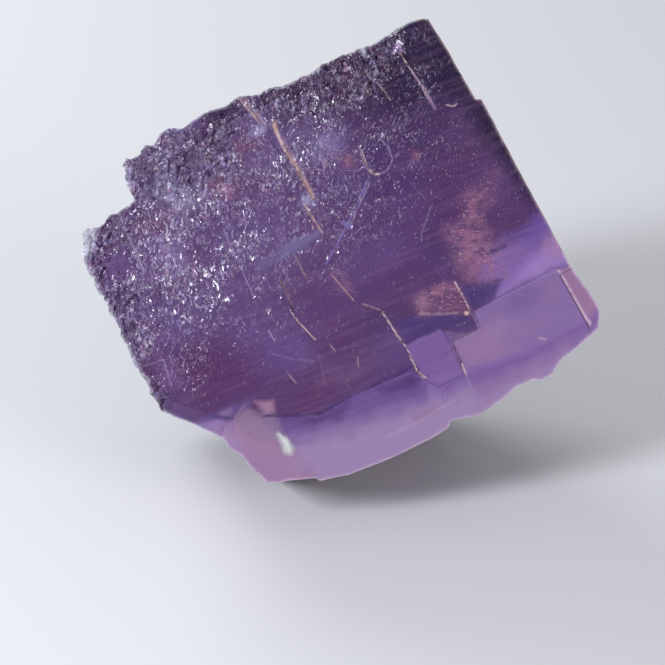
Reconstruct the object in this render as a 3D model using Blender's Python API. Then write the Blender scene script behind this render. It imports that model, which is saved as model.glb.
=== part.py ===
"""A purple fluorite crystal, broken off its rock.

One cube face is whole, and the cube's sides run back from its edges. The back and the
underside are where the crystal broke: it split along its octahedral cleavage planes, in
steps, and it stands on a small flat patch of the break.

The crystal's own axes are used throughout: X and Y lie in the cube face, and +Z points out
of it. Lengths are written in millimetres and turned into metres by MM.
"""

import random
from math import atan, cos, hypot, pi, radians, sin

import bmesh
import bpy
from mathutils import Matrix, Vector

MM = 0.001

# How the crystal stands: its cube face leans back, and is turned in its own plane.
LEAN = radians(25)
TURN = radians(29)
FACE_CENTRE = Vector((-1.9, -13.1, 36.0)) * MM

# The cube face's outline, anticlockwise from its ragged lower left corner.
FACE_OUTLINE = (
    (-29.4, -9.4), (-28.2, -10.8), (-26.8, -12.3), (-25.6, -14.0), (-24.1, -15.9),
    (-24.1, -17.3), (-23.1, -18.9), (-23.0, -20.3), (-22.0, -23.4), (-20.8, -24.1),
    (-19.3, -24.6), (-16.4, -25.9), (-16.1, -26.5), (-12.4, -27.6), (-6.5, -28.4),
    (-1.0, -28.6), (1.4, -28.4), (2.0, -27.8), (5.4, -28.9), (9.3, -28.6),
    (11.1, -28.1), (13.3, -28.3), (14.4, -28.9), (15.9, -28.8), (17.6, -27.8),
    (19.4, -27.6), (23.7, -26.7), (24.5, -25.5), (25.0, -24.6), (25.1, -23.3),
    (24.5, -17.9), (24.7, -11.4), (24.7, -3.7), (24.9, 2.5), (24.9, 5.7),
    (24.3, 6.0), (24.2, 12.2), (24.0, 17.6), (23.4, 18.1), (22.0, 18.4),
    (20.0, 18.6), (16.8, 18.3), (13.1, 18.9), (9.5, 19.4), (6.6, 19.2),
    (3.1, 19.7), (0.0, 20.1), (-1.5, 20.9), (-3.8, 20.6), (-6.2, 21.1),
    (-9.2, 20.9), (-11.1, 21.6), (-13.3, 21.4), (-13.9, 20.7), (-14.8, 21.2),
    (-16.3, 20.6), (-17.7, 20.9), (-18.6, 20.4), (-19.7, 17.1), (-19.5, 15.7),
    (-22.1, 15.4), (-22.8, 15.6), (-24.7, 15.0), (-26.2, 15.5), (-27.2, 15.2),
    (-28.6, 12.9), (-28.9, 8.7), (-29.0, 3.8), (-29.5, -3.1),
)
DEPTH = 46.0

# Octahedral cleavage planes that broke the back away: the signs of the plane's direction
# along the crystal's axes, and x + y + z with those signs for the points on the plane.
CLEAVAGES = {
    "left": ((-1, 1, -1), 59.0),
    "right": ((1, -1, -1), 59.4),
    "top": ((1, 1, -1), 56.0),
    "foot": ((-1, -1, -1), 66.5),
}
# Steps down in those planes: the plane, how far in, the way along the plane in which the
# lower part lies, and how far along that way it begins.
CLEAVAGE_STEPS = (
    ("left", 0.63, (1, 1, 0), -2.55),
    ("left", 1.71, (1, 1, 0), 3.52),
    ("left", 3.04, (1, 1, 0), 9.13),
    ("right", 0.54, (1, 1, 0), -3.37),
    ("right", 1.32, (1, 1, 0), 2.06),
    ("right", 2.83, (1, 1, 0), 7.48),
    ("top", 0.74, (-1, 1, 0), 0.87),
    ("top", 1.53, (-1, 1, 0), 5.08),
    ("top", 3.22, (-1, 1, 0), 12.11),
    ("top", 0.92, (1, -1, 0), 11.07),
    ("foot", 0.66, (1, -1, 0), 4.41),
    ("foot", 1.58, (1, -1, 0), 9.03),
)
# Rough breaks across the back, which follow no cleavage plane: direction and distance.
BACK_BREAKS = (
    ((0.10, 0.22, -1.0), 38.0),
    ((-0.28, -0.08, -1.0), 38.4),
    ((0.30, -0.34, -1.0), 41.5),
)

# Low growth terraces that are lower than the face: outline, and depth of the floor.
TERRACES = (
    (
        ((-31, 24), (-31, 12.4), (-27.0, 12.1), (-22.8, 11.6), (-22.5, 13.2), (-19.0, 13.0),
         (-18.6, 10.4), (-13.0, 10.2), (-12.6, 12.6), (-6.0, 12.3), (-5.7, 14.8), (-1.0, 14.6),
         (-0.6, 11.8), (5.5, 11.6), (5.9, 14.2), (12.0, 14.1), (12.3, 16.4), (18.4, 16.3),
         (18.7, 24)),
        0.28,
    ),
    (
        ((-31, 24), (-31, 16.6), (-16.5, 16.4), (-16.3, 17.6), (-7.4, 17.5), (-7.2, 18.6),
         (2.6, 18.2), (2.9, 17.2), (9.0, 17.1), (9.2, 24)),
        0.70,
    ),
    (((-27.6, 12.9), (-28.1, 7.4), (-23.1, 7.0), (-22.9, 12.3)), 0.22),
    (((22.6, -30), (22.6, -18.3), (27.0, -18.3), (27.0, -30)), 0.15),
    (((-31.0, -20.0), (-28.2, -7.5), (-28.0, 3.0), (-27.7, 8.0), (-31.0, 8.0)), 0.35),
)
# Terraces whose floor slopes: outline, the point where the slope begins, the way in which
# it goes down, and its rise over run.
SLOPED_TERRACES = (
    (((-11.0, 7.0), (-10.8, -0.2), (-0.7, 0.5), (-1.0, 5.0), (-3.0, 7.3)),
     (-11.0, 1.0), (0.6, -0.8), 0.042),
    (((1.1, -11.2), (1.5, -21.6), (2.7, -23.4), (6.4, -23.5), (6.6, -17.5), (10.5, -17.3),
      (10.8, -12.8)), (1.1, -11.0), (-0.17, -0.985), 0.028),
)
# A block that stands a little proud of the face: outline and height.
BLOCK = (
    ((10.8, -17.1), (10.6, -19.5), (6.9, -19.4), (6.5, -23.2), (6.5, -26.3), (22.9, -26.6),
     (22.9, -17.3)),
    0.20,
)
# Bevels along the broken lower edge: the two ends of the line where the face ends, how
# steeply the bevel falls back, and how far it reaches below that line.
RIM_BEVELS = (
    ((-21.0, -19.8), (4.2, -24.4), 11, 14),
    ((-26.6, -12.0), (-15.6, -22.6), 17, 12),
    ((-31.4, -4.0), (-22.6, -14.2), 30, 6),
    ((3.4, -25.0), (26.4, -26.3), 14, 8),
)
RIM_CUTTER_HEIGHT = 8.0
RIM_CUTTER_ABOVE = 2.5

# Open cracks in the face, as paths, with the width of each.
CRACKS = (
    (((-1.6, 21.5), (-0.8, 16.1)), 0.34),
    (((0.5, 15.5), (0.2, 12.5), (0.5, 7.2), (0.4, 4.8)), 0.46),
    (((-8.1, -1.8), (-8.2, -4.5), (-8.6, -5.6), (-8.9, -7.5), (-8.0, -10.8)), 0.24),
    (((18.8, 16.2), (19.2, 12.3), (19.1, 7.2)), 0.30),
    (((8.5, 7.4), (8.1, 5.1), (8.5, 4.0)), 0.24),
)
# Cracks along the left side of the cube, running back from the face: where they start on
# the face's left edge, and how far back they go.
SIDE_CRACKS = ((11.2, 15.0), (6.3, 14.0), (2.2, 21.0), (-1.7, 12.0), (-6.1, 22.0))
SIDE_CRACK_WIDTH = 0.34

# Square etch pits, thickest towards the upper left of the face: half widths, slope, and
# how many places are tried.
PIT_WIDTHS = (0.35, 1.15)
PIT_SLOPE = 0.24
PIT_TRIES = 420
PIT_LIMIT_LEFT = -6.0
PIT_LIMIT_RIGHT = 8.5

# Shell-shaped chips: a point on the edge, the hollow's radius, and how far it bites in.
# Each hollow opens away from the middle of the cube face, whose half sizes follow.
FACE_HALF_WIDTH = 29.0
FACE_HALF_HEIGHT = 21.0
CHIPS = (
    ((-27.6, 15.6, 0.0), 2.6, 0.9),
    ((-19.6, 18.6, 0.0), 2.4, 0.6),
    ((-16.3, 21.4, 0.0), 2.0, 0.6),
    ((-9.6, 21.6, 0.0), 3.6, 0.7),
    ((-4.4, 21.3, 0.0), 2.6, 0.5),
    ((3.4, 20.2, 0.0), 2.2, 0.5),
    ((10.9, 19.5, 0.0), 2.8, 0.5),
    ((18.3, 18.8, 0.0), 1.8, 0.6),
    ((24.4, 18.4, 0.0), 1.8, 0.6),
    ((25.1, 5.6, 0.0), 1.4, 0.35),
    ((24.9, -14.8, 0.0), 1.6, 0.3),
    ((-29.9, -1.2, 0.0), 1.7, 0.35),
    ((-29.6, 6.2, 0.0), 1.5, 0.35),
    ((-30.0, -9.2, 0.0), 2.2, 0.7),
    ((24.6, 17.8, -14.0), 4.6, 1.2),
    ((-29.0, 14.2, -15.0), 4.0, 1.0),
    ((9.0, 19.6, -21.0), 5.4, 1.0),
    ((25.4, -6.0, -20.5), 4.2, 0.9),
    ((-3.0, 20.8, -7.0), 3.2, 0.45),
    ((-12.0, 21.8, -16.0), 4.2, 0.7),
    ((25.2, 10.0, -8.0), 3.0, 0.35),
)

FLUORITE = (0.30, 0.13, 0.42, 1.0)


def clear_scene():
    for obj in list(bpy.data.objects):
        bpy.data.objects.remove(obj, do_unlink=True)


def new_collection(name, helper=False):
    made = bpy.data.collections.new(name)
    made.hide_render = helper
    bpy.context.scene.collection.children.link(made)
    return made


def crystal_axes():
    """The matrix from the crystal's own axes to the world's."""
    upright = Matrix.Rotation(pi / 2 - LEAN, 4, "X")
    turned = Matrix.Rotation(TURN, 4, "Z")
    return Matrix.Translation(FACE_CENTRE) @ upright @ turned


def add_object(name, mesh, place, group):
    made = bpy.data.objects.new(name, mesh)
    made.matrix_world = place
    group.objects.link(made)
    if group.hide_render:
        made.hide_render = True
        made.display_type = "WIRE"
    return made


def curve_to_mesh(name, curve):
    """The closed mesh of a curve that has caps, with the caps welded on."""
    guide = bpy.data.objects.new(name, curve)
    bpy.context.scene.collection.objects.link(guide)
    bpy.context.view_layer.update()
    evaluated = guide.evaluated_get(bpy.context.evaluated_depsgraph_get())
    mesh = bpy.data.meshes.new_from_object(evaluated)
    mesh.name = name
    bpy.data.objects.remove(guide, do_unlink=True)
    bm = bmesh.new()
    bm.from_mesh(mesh)
    bmesh.ops.remove_doubles(bm, verts=bm.verts, dist=0.000005)
    bmesh.ops.recalc_face_normals(bm, faces=bm.faces)
    bm.to_mesh(mesh)
    bm.free()
    return mesh


def poly_curve(name, points, cyclic):
    curve = bpy.data.curves.new(name, "CURVE")
    spline = curve.splines.new("POLY")
    spline.points.add(len(points) - 1)
    for point, place in zip(spline.points, points):
        point.co = (*(Vector(place) * MM), 1.0)
    spline.use_cyclic_u = cyclic
    return curve


def slab(name, outline, top, bottom, group):
    """A flat outline in the crystal's XY plane, filled and extruded from bottom to top."""
    middle = (top + bottom) / 2
    curve = poly_curve(name, [(x, y, 0.0) for x, y in outline], cyclic=True)
    curve.dimensions = "2D"
    curve.fill_mode = "BOTH"
    curve.extrude = (top - bottom) / 2 * MM
    place = crystal_axes() @ Matrix.Translation((0, 0, middle * MM))
    return add_object(name, curve_to_mesh(name, curve), place, group)


def groove_cutter(name, path, width, group):
    """A thin tube along a path given in the crystal's axes."""
    curve = poly_curve(name, path, cyclic=False)
    curve.dimensions = "3D"
    curve.bevel_depth = width / 2 * MM
    curve.bevel_resolution = 1
    curve.use_fill_caps = True
    return add_object(name, curve_to_mesh(name, curve), crystal_axes(), group)


def box_mesh(name, size):
    mesh = bpy.data.meshes.new(name)
    bm = bmesh.new()
    bmesh.ops.create_cube(bm, size=1.0)
    bmesh.ops.scale(bm, vec=Vector(size) * MM, verts=bm.verts)
    bm.to_mesh(mesh)
    bm.free()
    return mesh


def beyond_plane(name, direction, distance, group, side=None, start=0.0):
    """A big box on the far side of a plane, which a side direction limits to one half."""
    reach = 90.0
    outward = Vector(direction).normalized()
    along = Vector(side).normalized() if side else outward.orthogonal().normalized()
    shift = start + reach / 2 if side else 0.0
    across = outward.cross(along)
    turn = Matrix((along, across, outward)).transposed().to_4x4()
    centre = outward * (distance + reach / 2) + along * shift
    place = crystal_axes() @ Matrix.Translation(centre * MM) @ turn
    return add_object(name, box_mesh(name, (reach, reach, reach)), place, group)


def boolean(target, tool, operation="DIFFERENCE"):
    modifier = target.modifiers.new(tool.name, "BOOLEAN")
    modifier.operation = operation
    modifier.object = tool


def cut_back(crystal, cutters):
    """Breaks the back away along the cleavage planes, their steps and the rough breaks."""
    root3 = 3 ** 0.5
    for name, (signs, total) in CLEAVAGES.items():
        boolean(crystal, beyond_plane(f"cleave_{name}", signs, total / root3, cutters))
    for index, (name, depth, side, start) in enumerate(CLEAVAGE_STEPS):
        signs, total = CLEAVAGES[name]
        tool = beyond_plane(
            f"step_{name}_{index}", signs, total / root3 - depth, cutters, side, start
        )
        boolean(crystal, tool)
    for index, (direction, distance) in enumerate(BACK_BREAKS):
        boolean(crystal, beyond_plane(f"break_{index}", direction, distance, cutters))


def cut_foot(crystal, cutters):
    """The flat patch it stands on: everything under the ground plane goes."""
    place = Matrix.Translation((0, 0, -30 * MM))
    foot = add_object("ground_cut", box_mesh("ground_cut", (140, 140, 60)), place, cutters)
    boolean(crystal, foot)


def cut_rim(crystal, cutters):
    """Bevels along the lower edge, each only as long and as wide as its own stretch."""
    out = Vector((0, 0, 1))
    for index, (start, end, steepness, reach) in enumerate(RIM_BEVELS):
        first = Vector((*start, 0.0))
        last = Vector((*end, 0.0))
        along = (last - first).normalized()
        below = along.cross(out)
        outward = below * sin(radians(steepness)) + out * cos(radians(steepness))
        downhill = along.cross(outward)
        size = ((last - first).length, reach + RIM_CUTTER_ABOVE, RIM_CUTTER_HEIGHT)
        lift = outward * RIM_CUTTER_HEIGHT / 2
        centre = (first + last) / 2 + downhill * (reach - RIM_CUTTER_ABOVE) / 2 + lift
        turn = Matrix((along, -downhill, outward)).transposed().to_4x4()
        place = crystal_axes() @ Matrix.Translation(centre * MM) @ turn
        name = f"rim_{index}"
        boolean(crystal, add_object(name, box_mesh(name, size), place, cutters))


def shape_face(crystal, cutters):
    """The growth block and the terraces, which keep to the cube's own directions."""
    outline, height = BLOCK
    boolean(crystal, slab("growth_block", outline, height, -1.5, cutters), "UNION")
    for index, (outline, depth) in enumerate(TERRACES):
        boolean(crystal, slab(f"terrace_{index}", outline, 2.0, -depth, cutters))
    for index, (outline, start, way, slope) in enumerate(SLOPED_TERRACES):
        tool = slab(f"sloped_terrace_{index}", outline, 2.0, 0.0, cutters)
        hinge = Matrix.Translation(Vector((*start, 0.0)) * MM)
        tilt = Matrix.Rotation(atan(slope), 4, Vector((-way[1], way[0], 0.0)))
        lift = Matrix.Translation((0, 0, MM))
        tool.matrix_world = crystal_axes() @ hinge @ tilt @ hinge.inverted() @ lift
        boolean(crystal, tool)


def cut_cracks(crystal, cutters):
    for index, (path, width) in enumerate(CRACKS):
        spots = [(x, y, -0.05) for x, y in path]
        boolean(crystal, groove_cutter(f"crack_{index}", spots, width, cutters))
    for index, (height, length) in enumerate(SIDE_CRACKS):
        places = ((0.0, 0.05), (0.5, 0.4), (-0.4, 0.75), (0.3, 1.0))
        path = [
            (left_edge(height + rise) + 0.03, height + rise, -share * length)
            for rise, share in places
        ]
        tool = groove_cutter(f"side_crack_{index}", path, SIDE_CRACK_WIDTH, cutters)
        boolean(crystal, tool)


def outline_sides(outline):
    return zip(outline, outline[1:] + outline[:1])


def left_edge(y):
    """The X of the outline's left edge at a height."""
    return min(
        x0 + (x1 - x0) * (y - y0) / (y1 - y0)
        for (x0, y0), (x1, y1) in outline_sides(FACE_OUTLINE)
        if (y0 > y) != (y1 > y)
    )


def pit_density(x, y):
    """1 at the upper left of the face, falling to 0 past the diagonal of the face."""
    line = PIT_LIMIT_LEFT + (PIT_LIMIT_RIGHT - PIT_LIMIT_LEFT) * (x + 29.5) / 51.0
    return min(1.0, max(0.0, (y - line) / 12.0))


def inside(outline, x, y):
    """Whether a point lies inside an outline: its crossings to the right are odd."""
    crossings = 0
    for (x0, y0), (x1, y1) in outline_sides(outline):
        if (y0 > y) != (y1 > y) and x < x0 + (x1 - x0) * (y - y0) / (y1 - y0):
            crossings += 1
    return crossings % 2 == 1


def floor_depth(x, y):
    """How deep the terraces have cut the face at a point."""
    depths = [depth for outline, depth in TERRACES if inside(outline, x, y)]
    for outline, start, way, slope in SLOPED_TERRACES:
        if inside(outline, x, y):
            depths.append(slope * ((x - start[0]) * way[0] + (y - start[1]) * way[1]))
    return max(depths, default=0.0)


def pit_cutter(group):
    """All the etch pits as one mesh of small four-sided pyramids, points inward. They are
    strewn at random, and one that would touch another is left out."""
    chance = random.Random(7)
    bm = bmesh.new()
    placed = []
    for _ in range(PIT_TRIES):
        x, y = chance.uniform(-27.6, 22.4), chance.uniform(-9.0, 18.0)
        wide = PIT_WIDTHS[0] + (PIT_WIDTHS[1] - PIT_WIDTHS[0]) * chance.random() ** 2
        narrow = chance.uniform(0.45, 0.95)
        twist = radians(45 + chance.uniform(-8, 8))
        crowded = any(hypot(x - u, y - v) < 1.1 * (wide + other) for u, v, other in placed)
        if chance.random() > pit_density(x, y) or crowded:
            continue
        placed.append((x, y, wide))
        deep = wide * PIT_SLOPE
        made = bmesh.ops.create_cone(
            bm, cap_ends=True, segments=4, radius1=0, radius2=wide * 0.8 * MM,
            depth=deep * 1.6 * MM,
        )
        place = Matrix.Translation(Vector((x, y, -0.15 * deep - floor_depth(x, y))) * MM)
        squash = Matrix.Diagonal((1.0, narrow, 1.0, 1.0))
        spin = Matrix.Rotation(twist, 4, "Z")
        bmesh.ops.transform(bm, matrix=place @ squash @ spin, verts=made["verts"])
    bmesh.ops.recalc_face_normals(bm, faces=bm.faces)
    mesh = bpy.data.meshes.new("etch_pits")
    bm.to_mesh(mesh)
    bm.free()
    return add_object("etch_pits", mesh, crystal_axes(), group)


def chip_cutter(name, centre, radius, bite, group):
    """A flattened ball set so that its near cap bites the edge off."""
    bm = bmesh.new()
    bmesh.ops.create_icosphere(bm, subdivisions=2, radius=radius * MM)
    mesh = bpy.data.meshes.new(name)
    bm.to_mesh(mesh)
    bm.free()
    spot = Vector(centre)
    forward = 0.7 if spot.z == 0 else 0.0
    away = Vector((spot.x / FACE_HALF_WIDTH, spot.y / FACE_HALF_HEIGHT, forward))
    middle = spot + away.normalized() * (radius - bite)
    place = crystal_axes() @ Matrix.Translation(middle * MM)
    return add_object(name, mesh, place, group)


def fluorite_material():
    material = bpy.data.materials.new("purple_fluorite")
    material.use_nodes = True
    shader = material.node_tree.nodes["Principled BSDF"]
    shader.inputs["Base Color"].default_value = FLUORITE
    shader.inputs["Metallic"].default_value = 0.0
    shader.inputs["Roughness"].default_value = 0.22
    shader.inputs["IOR"].default_value = 1.434
    shader.inputs["Transmission Weight"].default_value = 0.6
    return material


def build_crystal():
    parts = new_collection("fluorite_specimen")
    cutters = new_collection("cutters", helper=True)
    crystal = slab("fluorite_crystal", FACE_OUTLINE, 0.0, -DEPTH, parts)
    crystal.data.materials.append(fluorite_material())
    shape_face(crystal, cutters)
    cut_back(crystal, cutters)
    cut_foot(crystal, cutters)
    cut_rim(crystal, cutters)
    for index, (centre, radius, bite) in enumerate(CHIPS):
        boolean(crystal, chip_cutter(f"chip_{index}", centre, radius, bite, cutters))
    cut_cracks(crystal, cutters)
    boolean(crystal, pit_cutter(cutters))
    return crystal


clear_scene()
build_crystal()
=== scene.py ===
import math
from collections import defaultdict
from itertools import product

import bmesh
import bpy
import numpy as np
from mathutils import Matrix, Vector
from mathutils.geometry import delaunay_2d_cdt


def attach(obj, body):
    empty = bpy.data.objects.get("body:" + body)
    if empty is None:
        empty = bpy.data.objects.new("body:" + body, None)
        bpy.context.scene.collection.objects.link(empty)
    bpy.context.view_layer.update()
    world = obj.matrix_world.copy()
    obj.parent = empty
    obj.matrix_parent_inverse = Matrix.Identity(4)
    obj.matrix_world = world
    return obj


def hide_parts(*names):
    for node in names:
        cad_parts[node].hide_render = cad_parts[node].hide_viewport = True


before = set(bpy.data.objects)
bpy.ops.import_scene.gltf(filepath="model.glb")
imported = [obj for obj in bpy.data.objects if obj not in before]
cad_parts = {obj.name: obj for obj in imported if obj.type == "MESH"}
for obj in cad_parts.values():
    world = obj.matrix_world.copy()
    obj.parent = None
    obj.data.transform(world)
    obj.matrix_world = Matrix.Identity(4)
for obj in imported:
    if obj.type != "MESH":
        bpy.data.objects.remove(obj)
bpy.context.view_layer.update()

# ------------------------------
# The camera. It looks down on the leaning cube face, square to it, from far
# enough away that the cube's edges hardly draw together.
# ------------------------------
CAMERA_HEIGHT_ANGLE = math.radians(25)
CAMERA_TARGET = Vector((-0.00156, -0.0183, 0.0249))
CAMERA_LENS = 180.0
SENSOR_WIDTH = 36.0
PIXELS_PER_METRE = 8000.0
IMAGE_SIDE = 665

view_way = Vector((0, math.cos(CAMERA_HEIGHT_ANGLE), -math.sin(CAMERA_HEIGHT_ANGLE)))
camera_distance = IMAGE_SIDE / PIXELS_PER_METRE * CAMERA_LENS / SENSOR_WIDTH
camera_data = bpy.data.cameras.new("camera")
camera_data.lens = CAMERA_LENS
camera_data.sensor_width = SENSOR_WIDTH
camera_data.clip_start = 0.01
camera = bpy.data.objects.new("camera", camera_data)
camera.location = CAMERA_TARGET - view_way * camera_distance
camera.rotation_euler = view_way.to_track_quat("-Z", "Y").to_euler()
bpy.context.scene.collection.objects.link(camera)
bpy.context.scene.camera = camera

# ------------------------------
# The fluorite crystal. One natural piece: a cube face with the cube's sides
# behind it, broken off its rock along cleavage planes. Its solid is taken as
# it is, cut into fine triangles, and given its etched and broken surface.
# ------------------------------
NODE = "fluorite_crystal"
MM = 0.001
LEAN = math.radians(25)
TURN = math.radians(29)
FACE_CENTRE = Vector((-1.9, -13.1, 36.0)) * MM

# The spacing of the fine triangles, in millimetres: where the face is etched or cracked,
# where it is plain, and on the sides and the back.
ETCHED_STEP = 0.17
PLAIN_SHARE = 2
SIDE_STEP = 0.64
SAME_PLANE = math.cos(math.radians(0.6))
ROW_GAP = 0.866           # of a hexagonal lattice: half the square root of 3
RIM_CLEARANCE = 0.55      # of a step, from a facet's edge to the lattice inside it

upright = Matrix.Rotation(math.pi / 2 - LEAN, 4, "X")
turned = Matrix.Rotation(TURN, 4, "Z")
crystal_to_world = np.array(Matrix.Translation(FACE_CENTRE) @ upright @ turned)


def to_crystal(points):
    """World metres to millimetres along the crystal's own axes, with Z out of the face."""
    return (points - crystal_to_world[:3, 3]) @ crystal_to_world[:3, :3] / MM


def to_world(points):
    """Crystal millimetres back to world metres."""
    return points * MM @ crystal_to_world[:3, :3].T + crystal_to_world[:3, 3]


def welded_solid(node):
    """The node's points in crystal millimetres, with doubles merged, and its triangles."""
    bm = bmesh.new()
    bm.from_mesh(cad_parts[node].data)
    bmesh.ops.remove_doubles(bm, verts=bm.verts, dist=1e-7)
    bmesh.ops.triangulate(bm, faces=bm.faces)
    points = np.array([v.co for v in bm.verts])
    triangles = np.array([[v.index for v in f.verts] for f in bm.faces])
    bm.free()
    return to_crystal(points), triangles


def triangle_normals(points, triangles):
    """Unit normals: the cross product of two sides, divided by its length. Also the areas."""
    a, b, c = (points[triangles[:, i]] for i in range(3))
    cross = np.cross(b - a, c - a)
    length = np.linalg.norm(cross, axis=1)
    return cross / np.maximum(length, 1e-12)[:, None], length / 2


def flat_groups(points, triangles):
    """Numbers the triangles so that neighbours in one plane share a number."""
    normals, _ = triangle_normals(points, triangles)
    users = defaultdict(list)
    for index, (a, b, c) in enumerate(triangles.tolist()):
        for edge in ((a, b), (b, c), (c, a)):
            users[frozenset(edge)].append(index)
    group = np.full(len(triangles), -1)
    neighbours = defaultdict(list)
    for first, second in users.values():
        if normals[first] @ normals[second] > SAME_PLANE:
            neighbours[first].append(second)
            neighbours[second].append(first)
    count = 0
    for start in range(len(triangles)):
        if group[start] >= 0:
            continue
        stack = [start]
        group[start] = count
        while stack:
            for other in neighbours[stack.pop()]:
                if group[other] < 0:
                    group[other] = count
                    stack.append(other)
        count += 1
    return group, count, users


def inside_loops(spots, starts, ends):
    """Which 2-D spots lie inside the loops: a ray to the right crosses them an odd number
    of times."""
    odd = np.zeros(len(spots), bool)
    for (x0, y0), (x1, y1) in zip(starts, ends):
        if y0 == y1:
            continue
        crosses = (spots[:, 1] < max(y0, y1)) & (spots[:, 1] >= min(y0, y1))
        odd ^= crosses & (spots[:, 0] < x0 + (x1 - x0) * (spots[:, 1] - y0) / (y1 - y0))
    return odd


def nearest_edge(spots, starts, ends):
    """The distance from each 2-D spot to the nearest of the edges."""
    nearest = np.full(len(spots), np.inf)
    for start, end in zip(starts, ends):
        along = end - start
        share = np.clip((spots - start) @ along / max(along @ along, 1e-12), 0, 1)
        apart = spots - start - share[:, None] * along
        nearest = np.minimum(nearest, (apart * apart).sum(1))
    return np.sqrt(nearest)


def refined(points, triangles, step_of, keep):
    """Cuts every flat facet into even triangles: its edges are divided evenly, its inside
    is filled with a hexagonal lattice, and the two are joined by a Delaunay triangulation.
    keep says which of the lattice's points stay, from their places and whole numbers."""
    group, count, users = flat_groups(points, triangles)
    normals, areas = triangle_normals(points, triangles)
    facet_normal = np.zeros((count, 3))
    np.add.at(facet_normal, group, normals * areas[:, None])
    facet_normal /= np.linalg.norm(facet_normal, axis=1)[:, None]
    middle = np.zeros((count, 3))
    np.add.at(middle, group, points[triangles].mean(1) * areas[:, None])
    middle /= np.bincount(group, areas, count)[:, None]
    steps = step_of(facet_normal, middle)

    all_points = [points]
    total = len(points)
    rims = [[] for _ in range(count)]
    for edge, pair in users.items():
        groups = {int(group[i]) for i in pair}
        if len(groups) == 1:
            continue
        first, last = sorted(edge)
        length = np.linalg.norm(points[last] - points[first])
        parts = max(1, round(length / min(steps[g] for g in groups)))
        shares = np.arange(1, parts)[:, None] / parts
        all_points.append(points[first] + (points[last] - points[first]) * shares)
        chain = [first, *range(total, total + parts - 1), last]
        total += parts - 1
        for g in groups:
            rims[g].append(chain)
    rim_points = np.concatenate(all_points)

    faces, facet_of_face, inner_points = [], [], []
    for g in range(count):
        out, step = facet_normal[g], steps[g]
        across = np.cross(out, [0.31, 0.95, 0.02] if abs(out[1]) < 0.9 else [1, 0, 0])
        across /= np.linalg.norm(across)
        plane = np.stack([across, np.cross(out, across)], 1)
        segments = np.array([p for chain in rims[g] for p in zip(chain, chain[1:])])
        used, local = np.unique(segments, return_inverse=True)
        local = local.reshape(-1, 2)
        # The triangulation holds 32-bit numbers, so the rim is rounded to them first.
        rim = (rim_points[used] @ plane).astype(np.float32).astype(float)
        starts, ends = rim[local[:, 0]], rim[local[:, 1]]
        low, high = rim.min(0), rim.max(0)
        rows, columns = np.ceil((high - low) / [step, step * ROW_GAP]).astype(int) + 1
        i, j = np.meshgrid(np.arange(rows), np.arange(columns), indexing="ij")
        i, j = i.ravel(), j.ravel()
        lattice = np.stack([(i + 0.5 * (j % 2)) * step, j * ROW_GAP * step], -1) + low
        height = (rim_points[used] @ out).mean()
        stays = keep(lattice @ plane.T + out * height, i, j, step)
        lattice = lattice[stays]
        lattice = lattice[inside_loops(lattice, starts, ends)]
        lattice = lattice[nearest_edge(lattice, starts, ends) > RIM_CLEARANCE * step]
        spots = np.concatenate([rim, lattice])
        made, _, tris, sources, _, _ = delaunay_2d_cdt(
            [Vector(s) for s in spots], local.tolist(), [], 0, 1e-9
        )
        tris = np.array(tris)
        here = np.array([s[:2] for s in made])
        tris = tris[inside_loops(here[tris].mean(1), starts, ends)]
        source = np.array([s[0] if s else len(spots) for s in sources])
        on_rim = source < len(used)
        number = np.empty(len(made), int)
        number[on_rim] = used[source[on_rim]]
        number[~on_rim] = total + np.arange((~on_rim).sum())
        total += (~on_rim).sum()
        inner_points.append(here[~on_rim] @ plane.T + out * height)
        faces.append(number[tris])
        facet_of_face.append(np.full(len(tris), g))
    every = np.concatenate([rim_points, *inner_points])
    return every, np.concatenate(faces), np.concatenate(facet_of_face), facet_normal


def hashed(cells, seed):
    """A random number from 0 to 1 for each whole-number cell, the same on every run: the
    cell's coordinates are multiplied by large odd numbers, added up and mixed by shifts."""
    mixed = np.full(cells.shape[:-1], seed + 1, np.uint64) * np.uint64(0x9E3779B97F4A7C15)
    factors = (0xD6E8FEB86659FD93, 0xA0761D6478BD642F, 0xE7037ED1A0B428DB)
    for axis, factor in zip(range(cells.shape[-1]), factors):
        mixed += cells[..., axis].astype(np.int64).view(np.uint64) * np.uint64(factor)
    mixed ^= mixed >> np.uint64(29)
    mixed *= np.uint64(0xBF58476D1CE4E5B9)
    mixed ^= mixed >> np.uint64(32)
    return (mixed >> np.uint64(40)).astype(float) / 2**24


def soft_noise(places, cell, seed):
    """Smooth noise from 0 to 1: random numbers at the corners of a lattice, blended across
    each cell by 3t^2 - 2t^3."""
    lattice = np.floor(places / cell).astype(np.int64)
    share = places / cell - lattice
    share = share * share * (3 - 2 * share)
    total = 0
    for corner in product((0, 1), repeat=places.shape[1]):
        weight = np.where(np.array(corner) > 0, share, 1 - share).prod(1)
        total = total + weight * hashed(lattice + np.array(corner), seed)
    return total


def clouds(places, cell, seed, gain, drop):
    """Noise with clear and full parts: gain times the noise, less drop, held to 0 to 1."""
    return np.clip(gain * soft_noise(places, cell, seed) - drop, 0, 1)


def turn_matrix(turn):
    """Columns are a way turned anticlockwise by this angle and the way square to it."""
    return np.array([[math.cos(turn), -math.sin(turn)], [math.sin(turn), math.cos(turn)]])


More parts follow.
